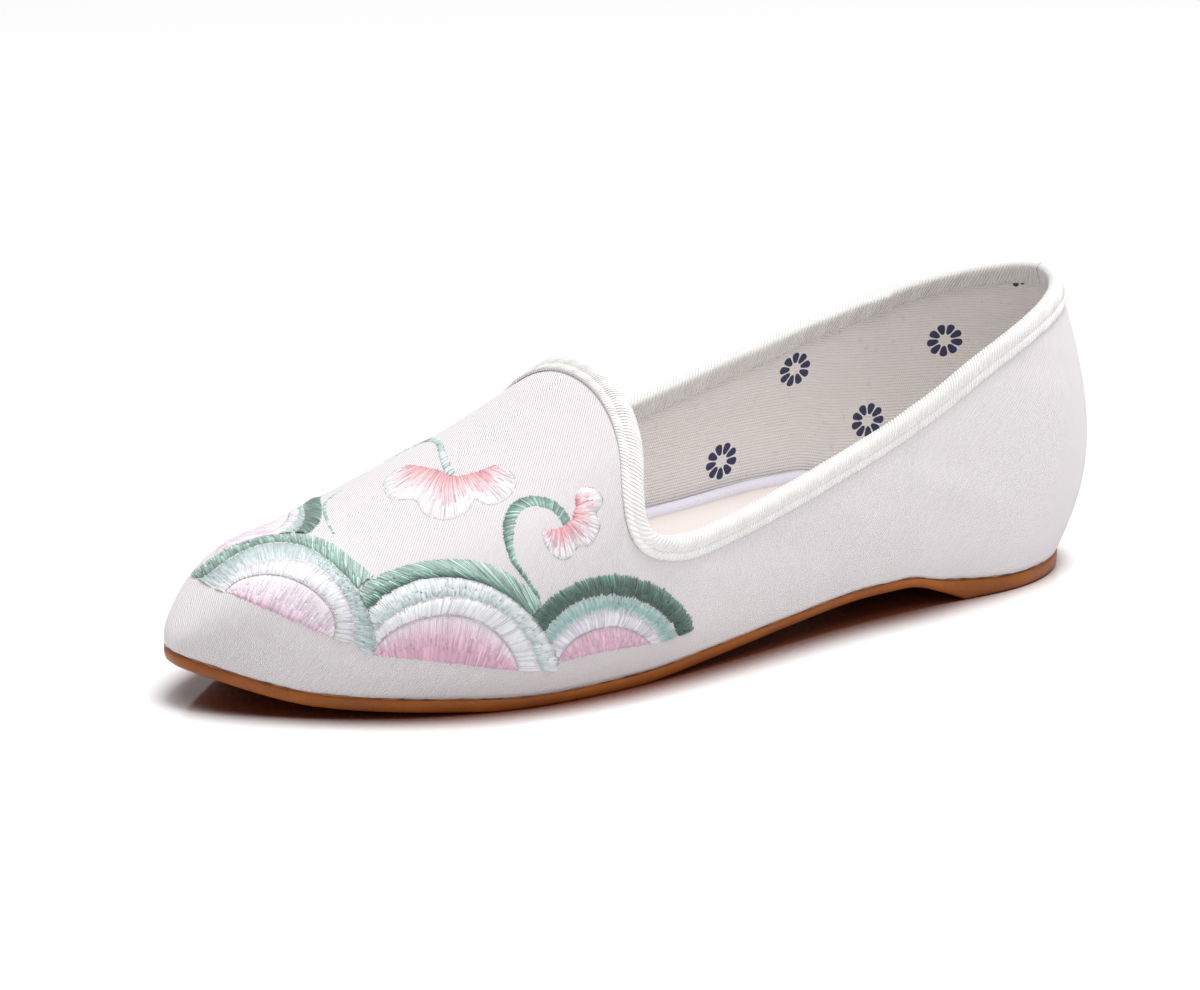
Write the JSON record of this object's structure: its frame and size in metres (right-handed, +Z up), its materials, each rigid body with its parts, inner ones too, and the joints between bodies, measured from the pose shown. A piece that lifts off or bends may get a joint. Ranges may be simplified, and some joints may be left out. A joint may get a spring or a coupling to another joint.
{
  "type": "cloth slip-on shoe",
  "caption": "Left-foot cloth slip-on flat with a low tongue, a bound collar, embroidered waves and blossoms, and a thin moulded sole with a low heel.",
  "frame": {"origin": "centre of the bounding box in X and Y, on the floor plane that the sole stands on", "axes": "+X points to the toe, +Y to the shoe's left, which is the outer side of this left shoe, and +Z up"},
  "size_m": [0.2502, 0.0844, 0.0755],
  "materials": {
    "outsole": "caramel-brown moulded rubber, satin",
    "upper": "ivory cotton satin with a fine diagonal weave, backed and lined",
    "collar_binding": "white ribbed bias tape",
    "footbed": "pale padded footbed with a cloth-covered border",
    "sock": "cream woven cotton"
  },
  "bodies": {
    "root": {"outsole": "outsole", "upper": "upper", "collar_binding": "collar_binding", "footbed": "footbed", "sock": "sock"}
  },
  "joints": []
}
